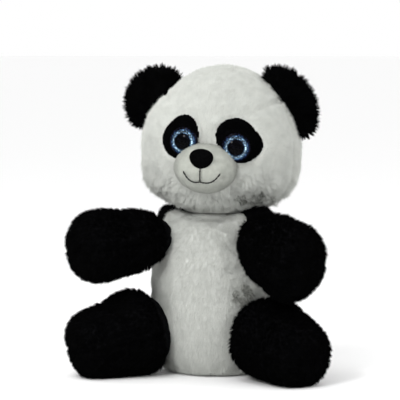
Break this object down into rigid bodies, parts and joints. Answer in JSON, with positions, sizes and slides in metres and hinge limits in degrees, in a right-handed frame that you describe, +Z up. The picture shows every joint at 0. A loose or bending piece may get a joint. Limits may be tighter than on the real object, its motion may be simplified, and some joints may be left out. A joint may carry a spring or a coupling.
{
  "type": "plush panda",
  "caption": "Seated plush panda with a turning, nodding head, folding ears, arms that lift and legs that swing.",
  "frame": {"origin": "centre of the flat seat, on the surface that the panda sits on", "axes": "+Z up; the torso faces -Y; +X is the panda's own left"},
  "size_m": [0.2258, 0.1773, 0.2611],
  "materials": {
    "white_plush": "matte",
    "black_plush": "matte",
    "ear_plush": "matte",
    "patch_plush": "matte",
    "muzzle_velour": "matte",
    "nose_flock": "matte",
    "mouth_thread": "satin",
    "eye_lens": "gloss",
    "eye_back": "gloss",
    "washer_plastic": "matte",
    "fibre_stuffing": "matte",
    "pellet_cloth": "matte",
    "label_satin": "satin"
  },
  "bodies": {
    "torso": {"belly_panel": "white_plush", "shoulder_yoke": "black_plush", "left_lower_back": "white_plush", "right_lower_back": "white_plush", "seat_panel": "white_plush", "body_stuffing": "fibre_stuffing", "pellet_bag": "pellet_cloth", "tail_cover": "white_plush", "tail_stuffing": "fibre_stuffing", "care_label": "label_satin"},
    "neck": {"neck_stuffing": "fibre_stuffing"},
    "head": {"face_panel": "white_plush", "left_head_side": "white_plush", "right_head_side": "white_plush", "head_back_panel": "white_plush", "head_stuffing": "fibre_stuffing", "muzzle_cover": "muzzle_velour", "muzzle_stuffing": "fibre_stuffing", "nose": "nose_flock", "nose_washer": "washer_plastic", "mouth_stitching": "mouth_thread", "left_eye_patch": "patch_plush", "left_eye_lens": "eye_lens", "left_eye_back": "eye_back", "left_eye_washer": "washer_plastic", "right_eye_patch": "patch_plush", "right_eye_lens": "eye_lens", "right_eye_back": "eye_back", "right_eye_washer": "washer_plastic"},
    "left_ear": {"left_ear_front": "ear_plush", "left_ear_back": "ear_plush", "left_ear_stuffing": "fibre_stuffing"},
    "left_arm": {"left_arm_upper": "black_plush", "left_arm_lower": "black_plush", "left_arm_stuffing": "fibre_stuffing"},
    "left_leg": {"left_leg_inner": "black_plush", "left_leg_outer": "black_plush", "left_foot_sole": "black_plush", "left_leg_stuffing": "fibre_stuffing"},
    "right_ear": {"right_ear_front": "ear_plush", "right_ear_back": "ear_plush", "right_ear_stuffing": "fibre_stuffing"},
    "right_arm": {"right_arm_upper": "black_plush", "right_arm_lower": "black_plush", "right_arm_stuffing": "fibre_stuffing"},
    "right_leg": {"right_leg_inner": "black_plush", "right_leg_outer": "black_plush", "right_foot_sole": "black_plush", "right_leg_stuffing": "fibre_stuffing"}
  },
  "joints": [
    {"name": "neck_turn", "type": "hinge", "parent": "torso", "child": "neck", "pos_m": [0, 0, 0.151], "axis": [0, 0, 1], "range_deg": [-30, 18], "stiffness_Nm_per_rad": 1},
    {"name": "head_nod", "type": "hinge", "parent": "neck", "child": "head", "pos_m": [0, 0, 0.151], "axis": [0.9945, 0.1045, 0], "range_deg": [-12, 12], "stiffness_Nm_per_rad": 1.2},
    {"name": "left_ear_fold", "type": "hinge", "parent": "head", "child": "left_ear", "pos_m": [0.05911, 0.00621, 0.2278], "axis": [0.5196, 0.0546, -0.8526], "range_deg": [-20, 20], "stiffness_Nm_per_rad": 0.03},
    {"name": "right_ear_fold", "type": "hinge", "parent": "head", "child": "right_ear", "pos_m": [-0.05385, -0.00566, 0.23475], "axis": [0.6191, 0.0651, 0.7826], "range_deg": [-20, 20], "stiffness_Nm_per_rad": 0.03},
    {"name": "left_shoulder", "type": "hinge", "parent": "torso", "child": "left_arm", "pos_m": [0.04534, -0.04228, 0.117], "axis": [-0.682, -0.7314, 0], "range_deg": [-6, 22], "stiffness_Nm_per_rad": 0.3},
    {"name": "right_shoulder", "type": "hinge", "parent": "torso", "child": "right_arm", "pos_m": [-0.04534, -0.04228, 0.117], "axis": [-0.682, 0.7314, 0], "range_deg": [-6, 22], "stiffness_Nm_per_rad": 0.3},
    {"name": "left_hip", "type": "hinge", "parent": "torso", "child": "left_leg", "pos_m": [0.05347, -0.0433, 0.0371], "axis": [0, 0, 1], "range_deg": [-15, 20], "stiffness_Nm_per_rad": 0.4},
    {"name": "right_hip", "type": "hinge", "parent": "torso", "child": "right_leg", "pos_m": [-0.05347, -0.0433, 0.0371], "axis": [0, 0, -1], "range_deg": [-15, 20], "stiffness_Nm_per_rad": 0.4}
  ]
}
